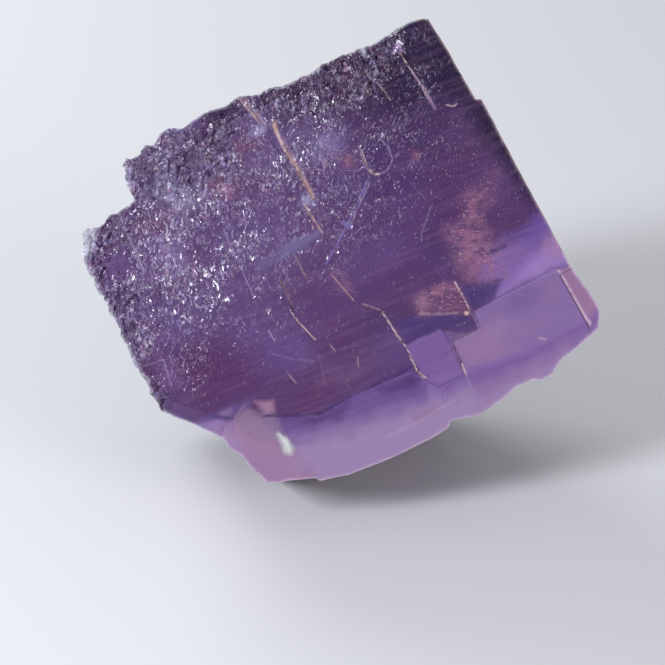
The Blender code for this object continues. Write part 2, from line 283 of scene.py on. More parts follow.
def square_pits(spots, cell, reach, slope, seed, share_of, stretch, turn):
    """Depth of four-sided pits: each cell of a lattice may hold one, at a random place. A
    pit's depth falls in a straight line from its middle to its sides, and the deepest of
    the nine nearest counts."""
    way = turn_matrix(turn)
    flat = spots @ way / [stretch, 1.0]
    home = np.floor(flat / cell).astype(np.int64)
    depth = np.zeros(len(spots))
    for step in product((-1, 0, 1), repeat=2):
        near = home + np.array(step)
        jitter = np.stack([hashed(near, seed), hashed(near, seed + 1)], -1)
        middle = (near + 0.5 + 0.8 * (jitter - 0.5)) * cell
        size = reach * (0.45 + 0.55 * hashed(near, seed + 2))
        there = hashed(near, seed + 3) < share_of(middle * [stretch, 1.0] @ way.T)
        off = np.abs(flat - middle) @ [[1.0, 0.25], [0.25, 1.0]]
        depth = np.maximum(depth, np.where(there, (size - off.max(1)) * slope, 0))
    return depth


def tilted_blocks(spots, cell, tilt, seed, share_of, stretch, turn):
    """Depth of small blocks with sloping tops: the nearest of nine jittered middles owns a
    spot, and the depth grows in a straight line along that middle's own random way."""
    way = turn_matrix(turn)
    flat = spots @ way / [stretch, 1.0]
    home = np.floor(flat / cell).astype(np.int64)
    nearest = np.full(len(spots), np.inf)
    depth = np.zeros(len(spots))
    for step in product((-1, 0, 1), repeat=2):
        near = home + np.array(step)
        middle = (near + np.stack([hashed(near, seed), hashed(near, seed + 1)], -1)) * cell
        off = flat - middle
        down = 2 * math.pi * hashed(near, seed + 2)
        rise = tilt * (0.25 + 0.75 * hashed(near, seed + 3))
        along = off[:, 0] * np.cos(down) + off[:, 1] * np.sin(down)
        there = hashed(near, seed + 4) < share_of(middle * [stretch, 1.0] @ way.T)
        apart = (off * off).sum(1)
        block = np.where(there, rise * (0.6 * cell + along), 0)
        depth = np.where(apart < nearest, block, depth)
        nearest = np.minimum(nearest, apart)
    return np.maximum(depth, 0)


def zone(spots, outline, soft):
    """1 inside an outline and 0 outside it, changing in a straight line across soft mm."""
    starts = np.array(outline, float)
    ends = np.roll(starts, -1, axis=0)
    apart = nearest_edge(spots, starts, ends)
    signed = np.where(inside_loops(spots, starts, ends), apart, -apart)
    return np.clip(0.5 + signed / soft, 0, 1)


def line(spots, path, width):
    """1 on a path of straight pieces, falling to 0 at half its width from it."""
    path = np.array(path, float)
    return np.clip(1.4 - 2.8 * nearest_edge(spots, path[:-1], path[1:]) / width, 0, 1)


def mound(spots, middle, radii):
    """A soft round spot: e to the minus square of the distance, measured in its radii."""
    off = (spots - np.array(middle)) / np.array(radii)
    return np.exp(-(off * off).sum(1))


# Fine strokes of etching cover the upper left of the face, and thin out down to a line
# across it. Lumps, which are coarser, lie along the ragged upper and left edges.
STROKES_END = -7.0
STROKES_END_RISE = 0.20
STROKES_FADE = 14.0
THINNING_STARTS = 3
THINNING_SPAN = 13
LUMPY_STRIPS = (  # outline, softness
    (((-21, 23), (-11, 24), (-1.5, 22), (-2.6, 17), (-6.8, 13.8), (-16, 13), (-21, 16)), 3),
    (((-1, 22), (12, 21), (20.5, 20), (18.5, 15), (9, 13.6), (2.5, 16)), 2.6),
    (((-31, 15), (-22, 15), (-24, 7), (-27, 1), (-31, -1)), 2.5),
    (((-31, -2), (-28.6, -3), (-28, -9.5), (-31, -11)), 1.2),
)
# Patches that stayed smooth: middle, radii and how smooth.
SMOOTH_PATCHES = (
    ((-4, 20), (2.6, 1.4), 1),
    ((3, 13.2), (2.6, 2), 0.8),
    ((-3.8, 11.6), (2.8, 2.6), 0.55),
    ((-25.3, 9.6), (2.3, 2.2), 0.95),
    ((10.1, 5.7), (1.3, 1.5), 0.9),
    ((22.5, 8), (2.6, 6), 0.7),
    ((-5.6, 0.85), (5.4, 0.8), 1),
)


def smooth_left(spots):
    """What the smooth patches leave of the etching."""
    left = np.ones(len(spots))
    for middle, radii, how in SMOOTH_PATCHES:
        left = left * (1 - how * mound(spots, middle, radii))
    return left


def stroked(spots):
    """The share of fine strokes: it grows with the height over the line, thins out to the
    right, and comes and goes in clouds."""
    above = spots[:, 1] - STROKES_END - STROKES_END_RISE * spots[:, 0]
    share = np.clip(above / STROKES_FADE, 0, 1) ** 1.2
    thinner = np.clip((spots[:, 0] - THINNING_STARTS) / THINNING_SPAN, 0, 1)
    share = share * (1 - 0.7 * thinner) * smooth_left(spots)
    return share * (0.45 + 0.55 * clouds(spots, 3.4, 61, 3, 0.9))


def lumpy(spots):
    """The share of coarse lumps: the strips along the ragged edges, less the smooth patches."""
    share = np.zeros(len(spots))
    for outline, soft in LUMPY_STRIPS:
        share = np.maximum(share, zone(spots, outline, soft))
    return share * smooth_left(spots) * (0.4 + 0.6 * clouds(spots, 2.6, 62, 3, 0.8))


# Cracks and healed seams in the face, with painted highlights and painted shade along a few
# step edges: path, width, colour and how strongly it shows.
# The rim's pale, also used for the painted highlight along the lower rim.
RIM_PALE = (0.78, 0.6, 0.78)
CREAM = (1.00, 0.64, 0.54)
PALE_CREAM = (1.00, 0.82, 0.78)
PINK_CREAM = (1.00, 0.72, 0.68)
TAN = (0.72, 0.44, 0.38)
SEAM_ROSE = (0.62, 0.4, 0.66)
SEAM_BLUE = (0.24, 0.19, 0.5)
SEAM_PALE = (0.5, 0.38, 0.62)
SEAM_BRIGHT = (0.55, 0.5, 0.85)
ROSE_SEAM = (0.6, 0.38, 0.5)
SEAM_INDIGO = (0.055, 0.026, 0.135)
ICE = (0.92, 0.98, 0.94)
# The colour of painted shade along step walls.
STEP_SHADE = (0.045, 0.02, 0.1)
RUST_DARK = (0.08, 0.02, 0.03)
SEAMS = (
    (((-1.7, 20.6), (-0.9, 16.4)), 0.34, CREAM, 0.8),
    (((-1.2, 20.6), (-0.5, 16.3)), 0.3, TAN, 0.7),
    (((0.5, 15.4), (0.2, 12.5), (0.5, 7.2), (0.4, 5)), 0.5, CREAM, 1),
    (((0.5, 13), (0.5, 6)), 1, TAN, 0.4),
    (((0.45, 14.8), (0.2, 12.5), (0.5, 7.4)), 0.24, PALE_CREAM, 0.9),
    (((0.7, 15.7), (0.4, 14.4)), 0.8, TAN, 0.8),
    # A terrace edge, painted cream: a painted highlight where it catches the light.
    (((-1, 4.9), (-0.9, 2.6), (-0.7, 0.7)), 0.3, CREAM, 0.9),
    (((-8.1, -1.7), (-8.2, -4.4), (-8.5, -5.4)), 0.22, TAN, 0.8),
    (((-8.9, -5.9), (-8.8, -7.5), (-8, -10.7)), 0.22, PINK_CREAM, 0.8),
    (((18.7, 15.6), (18.9, 12.4)), 0.24, PINK_CREAM, 0.8),
    (((18.9, 12.6), (19.2, 10), (19.1, 7.4)), 0.4, SEAM_ROSE, 0.8),
    (((19, 12), (19.1, 7.6)), 0.16, PINK_CREAM, 0.8),
    (((14.4, 13.9), (14.6, 12.6), (14.8, 11)), 0.2, PINK_CREAM, 0.45),
    (((20.6, 7.1), (21.3, 6.5), (21.8, 6.6)), 0.26, PINK_CREAM, 0.6),
    (((8.5, 7.2), (8.1, 5.1), (8.5, 3.9), (9.1, 3.6)), 0.3, PINK_CREAM, 0.9),
    (((9.1, 3.6), (10.1, 3.5), (11.4, 4.3), (11.7, 6.2), (11.2, 7.6)), 0.22, SEAM_PALE, 0.6),
    (((-5.1, -0.3), (-5.2, -3.3)), 0.2, TAN, 0.6),
    (((-2.2, -4.7), (-1.6, -7.8), (-1.4, -8.6)), 0.22, TAN, 0.6),
    (((1, -11.4), (1.3, -15.1), (1.5, -17.5), (1.3, -20.2), (1.7, -21.3)), 0.22, PINK_CREAM,
     0.95),
    (((1.55, -21.2), (1.75, -21.45)), 0.55, PINK_CREAM, 0.9),
    (((-0.6, -9.6), (1, -11.4)), 0.2, TAN, 0.6),
    (((10.8, -12.7), (10.8, -15), (10.7, -16.6)), 0.22, PINK_CREAM, 0.8),
    (((10.7, -17.2), (10.6, -19.5), (6.9, -19.4)), 0.26, SEAM_PALE, 0.5),
    # Dark lines along the block's left step: painted shade of its wall.
    (((6.5, -17.3), (6.9, -19.4), (6.5, -22.9)), 0.34, STEP_SHADE, 0.45),
    (((6.8, -19.9), (4.5, -20.3)), 0.24, STEP_SHADE, 0.35),
    (((6.6, -22.2), (6.4, -23.6)), 0.28, PINK_CREAM, 0.8),
    (((6.4, -23.4), (6.1, -26)), 0.24, SEAM_PALE, 0.5),
    (((22.9, -17.8), (23, -25.6)), 0.6, SEAM_ROSE, 1),
    (((22.85, -17.8), (22.95, -25.2)), 0.2, PINK_CREAM, 0.8),
    (((22.9, -24.6), (23.2, -25.4)), 0.4, PINK_CREAM, 0.6),
    (((10.15, -16.85), (10.25, -16.95)), 0.7, CREAM, 1),
    (((7.8, 3.9), (5.5, 2.2), (2.3, -0.2), (1.1, -0.9), (-2.2, -3)), 0.3, SEAM_BLUE, 0.9),
    (((7.6, 3.3), (5.2, 1.6), (2.6, -0.4)), 0.22, SEAM_PALE, 0.7),
    (((2.1, 0.5), (2.7, -0.5)), 0.75, SEAM_BLUE, 0.9),
    (((-0.4, 2.6), (2.5, 2.2), (2.4, -0.1)), 0.24, SEAM_BLUE, 0.45),
    (((13.2, -2.8), (9.8, -5.7)), 0.2, SEAM_PALE, 0.35),
    (((-6.6, -12), (-6.5, -13)), 0.2, PINK_CREAM, 0.35),
    (((-4.4, -15.1), (-4.9, -16.2)), 0.18, PINK_CREAM, 0.35),
    (((-13, -12.9), (-12.7, -14.3)), 0.18, PINK_CREAM, 0.4),
    (((-14.4, -8.7), (-11.7, -11.3), (-9.4, -12.9)), 0.18, SEAM_PALE, 0.25),
    (((-12.5, -6.8), (-12.5, -8.3)), 0.24, SEAM_BRIGHT, 0.6),
    (((-21.9, -15.7), (-21.5, -14.3), (-19.7, -13.5)), 0.4, ROSE_SEAM, 0.3),
    (((-21.9, 14.4), (-22.2, 11), (-22.6, 6.9)), 0.3, SEAM_PALE, 0.7),
    (((-28.3, 7.4), (-22.8, 7.1)), 0.26, SEAM_PALE, 0.7),
    (((-27, 12.3), (-22.6, 11.8)), 0.45, RUST_DARK, 0.6),
    (((-11.3, 7.3), (-11.7, 2.3), (-12.1, -2.3)), 0.24, SEAM_PALE, 0.5),
    (((11.1, -17.2), (22.8, -17.7)), 0.2, SEAM_PALE, 0.35),
    (((-28.4, -3.1), (-25.8, -3.6), (-26.6, -7.3)), 0.22, SEAM_PALE, 0.5),
    (((-15.2, -1.85), (-15.1, -1.95)), 0.6, RUST_DARK, 0.9),
    (((16.2, -11.7), (18.4, -11.9)), 0.8, SEAM_INDIGO, 0.7),
    (((-8.4, -12.2), (-9.6, -16.2)), 0.18, SEAM_PALE, 0.18),
    (((-9, -12.6), (-3.4, -13.8)), 0.16, SEAM_PALE, 0.15),
    (((-11.2, -10.8), (-9.6, -13.4)), 0.16, SEAM_PALE, 0.15),
    (((4.6, -1), (6.8, -3.6), (7.4, -6.2)), 0.16, SEAM_PALE, 0.15),
    (((12, 0.6), (12.6, -2)), 0.16, SEAM_PALE, 0.2),
    (((-24.7, -12.3), (-21.6, -14.3)), 0.5, SEAM_INDIGO, 0.5),
    (((-18.2, -15.8), (-15.6, -17.3), (-12, -19), (-8, -18.9), (-1.5, -19.4), (0.9, -19.5)),
     0.55, SEAM_INDIGO, 0.75),
    (((5, -14.1), (6.8, -15.2), (9.2, -16.3)), 0.5, PINK_CREAM, 0.22),
    (((-17.6, -18.8), (-17.3, -20.2), (-17.5, -21.2)), 0.34, ICE, 0.9),
    (((-17.1, -19.6), (-17, -20.8)), 0.24, ICE, 0.8),
    # A dark line along the terrace's lower step: painted shade of its wall.
    (((2.6, -26), (2.4, -24.4), (4, -23.7), (6.2, -23.6)), 0.26, STEP_SHADE, 0.22),
    (((-13, -23.6), (-8, -24.2), (-3, -24.2)), 0.3, SEAM_PALE, 0.2),
    (((-6, -25.6), (-1, -25.9), (4, -25.6)), 0.5, RIM_PALE, 0.2),
    (((16.6, -24), (17.2, -24.5)), 0.28, PINK_CREAM, 0.5),
)

# The colours. The body is violet and darkens towards one corner; the foot and one block,
# where the crystal is thin, are painted pale: a painted glow for the light that shines through
# them. Each zone is an outline on the face, the softness of its edge in mm, its colour and how
# strongly it shows.
VIOLET = (0.112, 0.048, 0.162)
INDIGO = (0.018, 0.006, 0.042)
DEEP_VIOLET = (0.062, 0.026, 0.125)
BLUE_VIOLET = (0.15, 0.086, 0.27)
BLUE_DEEP = (0.085, 0.045, 0.19)
BAND_BLUE = (0.18, 0.1, 0.325)
BRIGHT_INDIGO = (0.12, 0.058, 0.32)
MAGENTA = (0.104, 0.026, 0.112)
PALE_VIOLET = (0.27, 0.15, 0.43)
BAND_VIOLET = (0.4, 0.235, 0.6)
LAVENDER = (0.3, 0.185, 0.43)
PINK_LAVENDER = (0.435, 0.285, 0.515)
# Colours of the foot's painted glow, where light shines through the thin crystal.
FOOT_GLOW_ROSE = (0.41, 0.215, 0.385)
PEACH = (0.56, 0.3, 0.42)
FOOT_GLOW_BLUE = (0.47, 0.34, 0.64)
FOOT_GLOW_PALE = (0.43, 0.3, 0.525)
ROSE_LAVENDER = (0.43, 0.235, 0.41)
FROST_GREY = (0.18, 0.118, 0.265)
FROST_PALE = (0.42, 0.37, 0.6)
# A painted highlight: silver where the left side, the notch's wall and the rim catch the light.
SILVER_HIGHLIGHT = (0.86, 0.88, 1.000)
ROSE = (0.36, 0.15, 0.26)
# The colour of the painted highlight along the right rim.
RIM_HIGHLIGHT_CREAM = (0.76, 0.56, 0.52)
DARK_MAROON = (0.05, 0.018, 0.065)
LEDGE_BLUE = (0.22, 0.18, 0.37)
WARM_GREY = (0.33, 0.225, 0.34)
PALE_TIP = (0.74, 0.77, 0.74)
RUST = (0.3, 0.11, 0.16)
ZONES = (
    (((14, 21), (27, 21), (27, 3), (21.6, 6.8), (15.6, 6.6), (10, 12)), 6, INDIGO, 0.95),
    (((18, 21), (27, 21), (27, 5.2), (21.6, 7.8), (19, 10)), 2, INDIGO, 0.6),
    (((-1.5, 21.5), (15, 20.5), (16, 14), (9.5, 12.2), (1, 14.6)), 3, DARK_MAROON, 0.8),
    (((27, 8), (27, -11.4), (24.4, -10.7), (23.4, -4.9), (22.4, 5)), 2.6, INDIGO, 0.9),
    (((2, 12), (20, 8), (18, -1), (4, -2)), 7, DEEP_VIOLET, 0.55),
    (((-29, -3.1), (-17.3, -4.8), (-14.5, -13), (-24.8, -11.9)), 4.5, MAGENTA, 0.85),
    (((9, -5), (14, -4), (12, -10), (8, -9)), 5, DEEP_VIOLET, 0.5),
    (((14, -12.6), (17.5, -11.6), (27, -10.4), (27, -16.5), (24.6, -18), (11.2, -17.3),
      (13.6, -15.6)), 2, PALE_VIOLET, 0.9),
    (((14.2, -16.8), (24.6, -17.9), (27, -15), (22.6, -14.4)), 1.6, BAND_VIOLET, 0.8),
    (((19.5, -11), (27, -9.6), (27, -13.2), (21.5, -13)), 2, BRIGHT_INDIGO, 0.6),
    (((22.4, -14), (27, -13.6), (27, -16.6), (22.8, -16.4)), 1.3, ROSE_LAVENDER, 0.6),
    (((10.9, -13.7), (16.3, -15.3), (14.2, -16.9), (11, -17.2)), 0.5, BLUE_DEEP, 0.9),
    (((2, -13.5), (4.7, -13.9), (10.2, -17), (10.7, -19.4), (8.2, -18.7), (6.4, -16.8),
      (1.7, -16.8)), 0.35, BLUE_DEEP, 0.85),
    (((6.3, -17.2), (9.4, -19.4), (6.9, -19.4)), 0.3, FROST_GREY, 0.8),
    (((1.5, -16.9), (6.3, -16.8), (6.9, -18.1), (6.5, -23.4), (3.2, -23.6), (1.7, -21.6)), 0.35,
     PALE_VIOLET, 0.8),
    # The block, painted pale lavender: a painted glow of the light through the thin crystal.
    (((11, -17.2), (22.8, -17.7), (23, -25.3), (14.7, -25.3), (6.7, -23.4), (6.9, -19.4),
      (10.7, -19.4)), 0.35, LAVENDER, 0.95),
    (((6.9, -19.4), (13.5, -19.4), (13, -24), (6.7, -23.2)), 2.4, ROSE_LAVENDER, 0.55),
    (((22.9, -17.9), (26, -18.2), (26, -23.6), (24.5, -25.6), (22.9, -25.3)), 0.3,
     ROSE_LAVENDER, 0.9),
    # The foot, painted pale: a painted glow of the light through the thin crystal.
    (((-29.5, -8.6), (-27, -12), (-22.3, -14), (-18.4, -16.3), (-14.8, -20.4),
      (-6.5, -22.8), (-1.2, -22.6), (1.8, -21.4), (6.3, -22.9), (14.4, -24.8), (23.2, -25),
      (27, -24), (27, -31), (-30, -31)), 0.9, PALE_VIOLET, 0.9),
    (((-26, -13.4), (-22.6, -14.4), (-18.8, -17.5), (-14.8, -21.6), (-6.5, -24),
      (1, -25.2), (8, -26.4), (24, -27), (24, -31), (-28, -31)), 2.6,
     PINK_LAVENDER, 0.9),
    (((-18.2, -15.9), (-15.6, -17.4), (-12, -19.1), (-8, -19), (-1.5, -19.5), (0.7, -19.6),
      (1.9, -21.3), (0.5, -24.4), (-6.5, -24.6), (-14.4, -22.4), (-17.4, -20.4)), 0.5,
     BAND_BLUE, 0.95),
    (((-16.4, -17.4), (-12, -19.3), (-8, -19.2), (-9, -20.2), (-13, -20.2)), 1,
     DEEP_VIOLET, 0.55),
    (((-4.4, -19.4), (-1.5, -19.6), (0.7, -19.7), (1.9, -21.3), (-0.6, -21.4), (-3.4, -20.6)),
     1.2, DEEP_VIOLET, 0.65),
    (((-20, -19.6), (-17.4, -20.2), (-14, -21.2), (-9, -22.2), (-3, -23.6), (2, -24.4),
      (6, -25.6), (6, -31), (-22, -31)), 3.2, FOOT_GLOW_PALE, 0.9),
    (((-23, -15.4), (-20, -14), (-18.5, -16.3), (-17.2, -22), (-16, -27), (-24, -26)), 2,
     FOOT_GLOW_ROSE, 0.85),
    (((-26, -12.2), (-21.8, -12.4), (-18.1, -13.2), (-19.6, -13.9), (-22.3, -14.3)), 0.6,
     BLUE_VIOLET, 0.9),
    (((-22.7, -12.7), (-21.2, -12.8), (-21.3, -13.6), (-22.6, -13.5)), 0.5, PINK_LAVENDER, 0.4),
    (((-21.7, -14.5), (-19.7, -13.7), (-18.4, -15.4), (-18.6, -18.9), (-20.4, -18.8),
      (-21.9, -16.4)), 0.9, WARM_GREY, 0.65),
    (((-18.3, -13.6), (-16.5, -14.5), (-16.9, -16), (-18, -15.8)), 0.8, PEACH, 0.7),
    (((-18.1, -15.2), (-16.9, -16.4), (-16.5, -20.5), (-17.2, -21.8), (-18.6, -21.1),
      (-18.6, -18.4)), 0.8, WARM_GREY, 0.6),
    (((-17.5, -18.6), (-16.9, -19.4), (-16.9, -20.9), (-17.5, -21.5), (-18.2, -21),
      (-17.9, -20.1)), 0.7, PALE_TIP, 1),
    (((-1.8, -24.8), (1, -25.2), (0.9, -26.2), (-1.6, -25.8)), 0.9, ROSE, 0.35),
    (((-28, -7.3), (-27, -7.6), (-27, -8.8), (-28.2, -8.5)), 0.3, DEEP_VIOLET, 0.6),
    # The left tip: a painted silver highlight.
    (((-28.8, 16.2), (-27.2, 16.2), (-24.9, 15), (-26.6, 13.6), (-27, 12.2), (-29, 11.8)),
     0.6, SILVER_HIGHLIGHT, 1),
    (((17.7, 16.1), (19.2, 17), (19.2, 15.6)), 0.35, PINK_LAVENDER, 0.95),
    (((14.2, 18.6), (15.4, 18.6), (14.8, 16.9)), 0.4, SILVER_HIGHLIGHT, 0.7),
    (((-7.4, 21.6), (-1.8, 21.6), (-2.1, 18.6), (-5.8, 18.8)), 0.7, INDIGO, 0.75),
    # The ragged upper-left strip, darkened: painted shade among its lumps.
    (((-18, 20.5), (-3.3, 18.4), (-6.8, 14), (-17.1, 16.4)), 2.5, DARK_MAROON, 0.35),
    (((-10.6, 0), (-7.4, 0.2), (-0.8, 0.4), (-0.8, 1.35), (-7.4, 1.5), (-10.2, 1.1)), 0.4,
     LEDGE_BLUE, 0.45),
    (((-7, 0.2), (-0.8, 0.4), (-0.8, 1.35), (-6, 1.45)), 0.6, LEDGE_BLUE, 0.6),
    (((5.4, 13.6), (8.2, 13.6), (8, 12.6), (5.6, 12.6)), 0.5, DEEP_VIOLET, 0.6),
    (((8.5, 7.2), (11.4, 7.4), (11.6, 4.4), (9.6, 3.6), (8.4, 4.4)), 0.9, DEEP_VIOLET, 0.5),
)
# Soft clouds of colour: middle, radii, colour and strength.
CLOUDS = (
    ((-8.6, 11.3), (0.9, 1.3), ROSE, 0.9),
    ((-9.6, 12.4), (1.6, 1.2), RUST, 0.35),
    ((-18.9, 11.8), (2.2, 1.6), RUST, 0.4),
    ((-3.9, 14.9), (1.9, 1), RUST, 0.45),
    ((6.6, 7), (1.2, 1.2), RUST, 0.55),
    ((14.2, 3.5), (0.6, 0.6), ROSE, 0.5),
    ((-14.8, 14.6), (1.7, 3.2), FROST_PALE, 0.75),
    ((-12.6, 12.2), (1.6, 1.2), FROST_PALE, 0.4),
    ((4.2, 9.8), (2.2, 1.4), FROST_PALE, 0.45),
    ((-18.6, 7.2), (1.4, 2.6), FROST_PALE, 0.35),
    ((-19.5, 8.4), (3.4, 3.2), PALE_VIOLET, 0.5),
    ((-26, -5.6), (1.4, 3), PALE_VIOLET, 0.35),
    ((5.1, 9.9), (1.8, 1.8), PALE_VIOLET, 0.3),
    ((2.8, 13), (2.6, 1.9), FROST_GREY, 0.6),
    ((-3.4, 12), (3, 1.8), FROST_GREY, 0.6),
    ((-25.3, 9.9), (2.3, 2), PALE_VIOLET, 0.38),
    ((-1.6, 15.7), (1.2, 0.7), FROST_PALE, 0.8),
    ((-0.3, 5), (0.9, 0.8), FROST_PALE, 0.8),
    ((-8, -9), (7, 5), PALE_VIOLET, 0.12),
    ((-7, -16), (5, 2), ROSE_LAVENDER, 0.12),
    ((6.1, -13), (1.1, 1.3), PEACH, 0.35),
    ((20.5, -16.4), (2.6, 1), FOOT_GLOW_BLUE, 0.35),
    ((17.6, -18.6), (4.5, 1.8), BLUE_VIOLET, 0.35),
    ((13.6, -20.6), (2, 1.6), PINK_LAVENDER, 0.25),
    ((20.8, -19.6), (1.8, 1.6), ROSE_LAVENDER, 0.22),
    ((16.2, -22.4), (2.2, 1), ROSE_LAVENDER, 0.25),
    ((4, -20.8), (1.8, 1.6), LAVENDER, 0.3),
)
VEILS = (
    (((17.2, -3.8), (19.7, -3.9), (22, -3.5), (19.9, -5.6), (18.3, -5.8), (17.4, -7.9),
      (17, -11.9), (16.6, -14.9), (13.9, -14.4), (12.2, -12.8), (12.4, -9.8), (13, -6.4),
      (15.6, -7.1)), 2.2, ROSE, 0.75),
    (((4.6, -14.2), (6.3, -12), (9.1, -12), (10.9, -13.2), (10.8, -15), (10.9, -16.8),
      (7.8, -15.5), (5.8, -14.9)), 1, ROSE, 0.8),
    (((-2.6, -4), (-1, -4.4), (-0.6, -8.2), (-2.4, -8)), 0.9, ROSE, 0.3),
)
# Edges painted with silver highlights: the left side and the notch's wall, where they catch the
# light.
HIGHLIGHTED_EDGES = (
    (((-28.8, 13.4), (-29.1, 4), (-29.8, -8.6)), 1.7, 1),
    (((-29.8, -8.6), (-28.4, -10.8)), 1.7, 0.8),
    (((-19.7, 16), (-18.6, 20.4)), 1.7, 1),
)


def worth_cutting_fine(spots):
    """Which places on the face need the fine triangles: the etching, the seams and the
    crisp edges of the zones."""
    fine = (stroked(spots) > 0.10) | (lumpy(spots) > 0.05)
    for path, width, _, _ in SEAMS:
        fine |= line(spots, path, 2 * width + 0.5) > 0
    for outline, soft, _, _ in ZONES:
        if soft < 1:
            starts = np.array(outline, float)
            fine |= nearest_edge(spots, starts, np.roll(starts, -1, axis=0)) < 0.5
    return fine


def face_and_side_steps(facet_normal, middle):
    """A small step on the cube face and its terraces, a larger one everywhere else."""
    in_face = (facet_normal[:, 2] > 0.6) & (middle[:, 2] > -4)
    return np.where(in_face, ETCHED_STEP, SIDE_STEP)


def thinned(places, row, column, step):
    """The lattice points that stay: all of them but on the plain part of the face."""
    if step > ETCHED_STEP:
        return np.ones(len(places), bool)
    coarse = (row % PLAIN_SHARE == 0) & (column % PLAIN_SHARE == 0)
    return coarse | worth_cutting_fine(places[:, :2])


points, faces, facet_of_face, facet_normal = refined(
    *welded_solid(NODE), face_and_side_steps, thinned
)

# The relief. The face sinks straight back by the depth of its etching; the sides and the
# back are pressed in square to themselves, and the face's rim follows them. Nothing stands
# out past the solid, and the flat patch that it stands on stays flat.
PITS = (
    # where, spacing and half width in mm, slope, stretch, turn in degrees
    (lumpy, 2.2, 1.00, 0.34, 1.0, 45),
    (stroked, 0.80, 0.25, 0.50, 2.6, 34),
    (stroked, 0.95, 0.24, 0.45, 2.2, 96),
)
BLOCKS = (
    # where, spacing, slope, stretch, turn in degrees
    (lumpy, 1.00, 0.50, 1.6, 60),
    (lumpy, 0.55, 0.45, 1.4, 20),
)
PIT_LAYER = 0.11
DEEPEST_PIT = 0.8
FACE_DEPTH_ENDS = 3.5     # how far behind the face its etching still shows
RIM_REACH = 2.4           # how far in from the rim the face follows the sides
BASE_FADE = 0.001         # metres above the floor in which the relief fades away


def face_depth(places):
    """How far the etching sinks the face: the sum of the pits and the blocks, part of it
    rounded to layers, as the cube dissolves layer by layer, with a slow swell."""
    spots = places[:, :2]
    depth = np.zeros(len(spots))
    for seed, (where, cell, reach, slope, stretch, turn) in enumerate(PITS):
        depth += square_pits(
            spots, cell, reach, slope, 10 * seed + 3, where, stretch, math.radians(turn)
        )
    for seed, (where, cell, tilt, stretch, turn) in enumerate(BLOCKS):
        depth += tilted_blocks(
            spots, cell, tilt, 10 * seed + 203, where, stretch, math.radians(turn)
        )
    depth = 0.6 * depth + 0.4 * np.round(depth / PIT_LAYER) * PIT_LAYER
    swell = 0.05 * soft_noise(spots, 4.5, 91) + 0.02 * soft_noise(spots, 1.6, 92)
    return np.minimum(depth, DEEPEST_PIT) + swell


# Noise on the sides and the back is read on axes turned away from every flat face, so that
# its lattice doesn't show on them.
SKEW = np.array([[0.80, 0.36, 0.48], [-0.60, 0.48, 0.64], [0.0, -0.80, 0.60]])


# Behind the ragged edge, which this outline holds, the sides draw in, so that the teeth
# of the rim stand clear of them.
RAGGED_EDGE = ((-34, -12), (-27, -12), (-26, 8), (-16, 15), (15, 17), (16, 24), (-34, 24))
RAGGED_EDGE_SOFT = 3.0
TEETH_DEPTH = 2.2
TAPER = 0.9
TAPER_STARTS = 0.6
TAPER_LENGTH = 5


def cube_side_depth(places):
    """Growth steps across the cube's sides, in lines along the face's edges, and low noise.
    Next to the etched rim there are ragged bites and notches, and a taper behind them."""
    skewed = places @ SKEW
    bent = -places[:, 2:] + 3.0 * soft_noise(skewed, 7.0, 21)[:, None]
    step = np.round(5 * soft_noise(bent, 1.9, 22)) / 5
    step *= clouds(skewed, 4.6, 27, 2.4, 0.8)
    near_rim = np.clip(1 + places[:, 2] / TEETH_DEPTH, 0, 1)
    near_rim *= np.clip(1.3 * lumpy(places[:, :2]) + 0.03, 0, 1)
    bites = clouds(places, 0.95, 24, 2.2, 0.75)
    notches = 1 - np.clip(6 * np.abs(soft_noise(places, 1.1, 25) - 0.5), 0, 1)
    teeth = 0.45 * bites + 0.50 * notches
    ragged = zone(places[:, :2], RAGGED_EDGE, RAGGED_EDGE_SOFT)
    taper = TAPER * ragged * np.clip((-places[:, 2] - TAPER_STARTS) / TAPER_LENGTH, 0, 1)
    low = 0.08 * step + 0.13 * soft_noise(skewed, 3.2, 23) + 0.05 * soft_noise(skewed, 1.3, 26)
    return low + taper + near_rim * teeth


def cleavage_depth(places):
    """Torn steps on a cleavage plane: noise drawn out along the plane's crest and rounded
    to whole layers, with a fine grain between them."""
    drawn = places @ np.array([[0.12, 0.5, 0.3], [0.12, -0.5, 0.3], [0.5, 0.1, -0.3]])
    layers = np.round(6 * soft_noise(drawn, 1.6, 31)) / 6
    return 0.42 * layers + 0.12 * soft_noise(places @ SKEW, 1.3, 32)


RIPPLE_CENTRE = (8.0, -6.0, -34.0)


def break_depth(places):
    """A rough break: two sizes of noise, with shell-like ripples round one corner."""
    away = np.linalg.norm(places - RIPPLE_CENTRE, axis=1)
    skewed = places @ SKEW
    ripple = 0.5 + 0.5 * np.sin(2.6 * away + 3 * soft_noise(skewed, 5.0, 41))
    rough = 0.5 * soft_noise(skewed, 3.4, 42) + 0.22 * soft_noise(skewed, 1.4, 43)
    return rough + 0.10 * ripple


def to_points(values, chosen):
    """The mean of the triangles' values round each point, over the chosen triangles."""
    corners = faces[chosen].ravel()
    total = np.maximum(np.bincount(corners, minlength=len(points)), 1)
    columns = values[chosen].reshape(len(corners) // 3, -1).T
    sums = [np.bincount(corners, c.repeat(3), len(points)) for c in columns]
    return np.stack(sums, 1) / total[:, None]


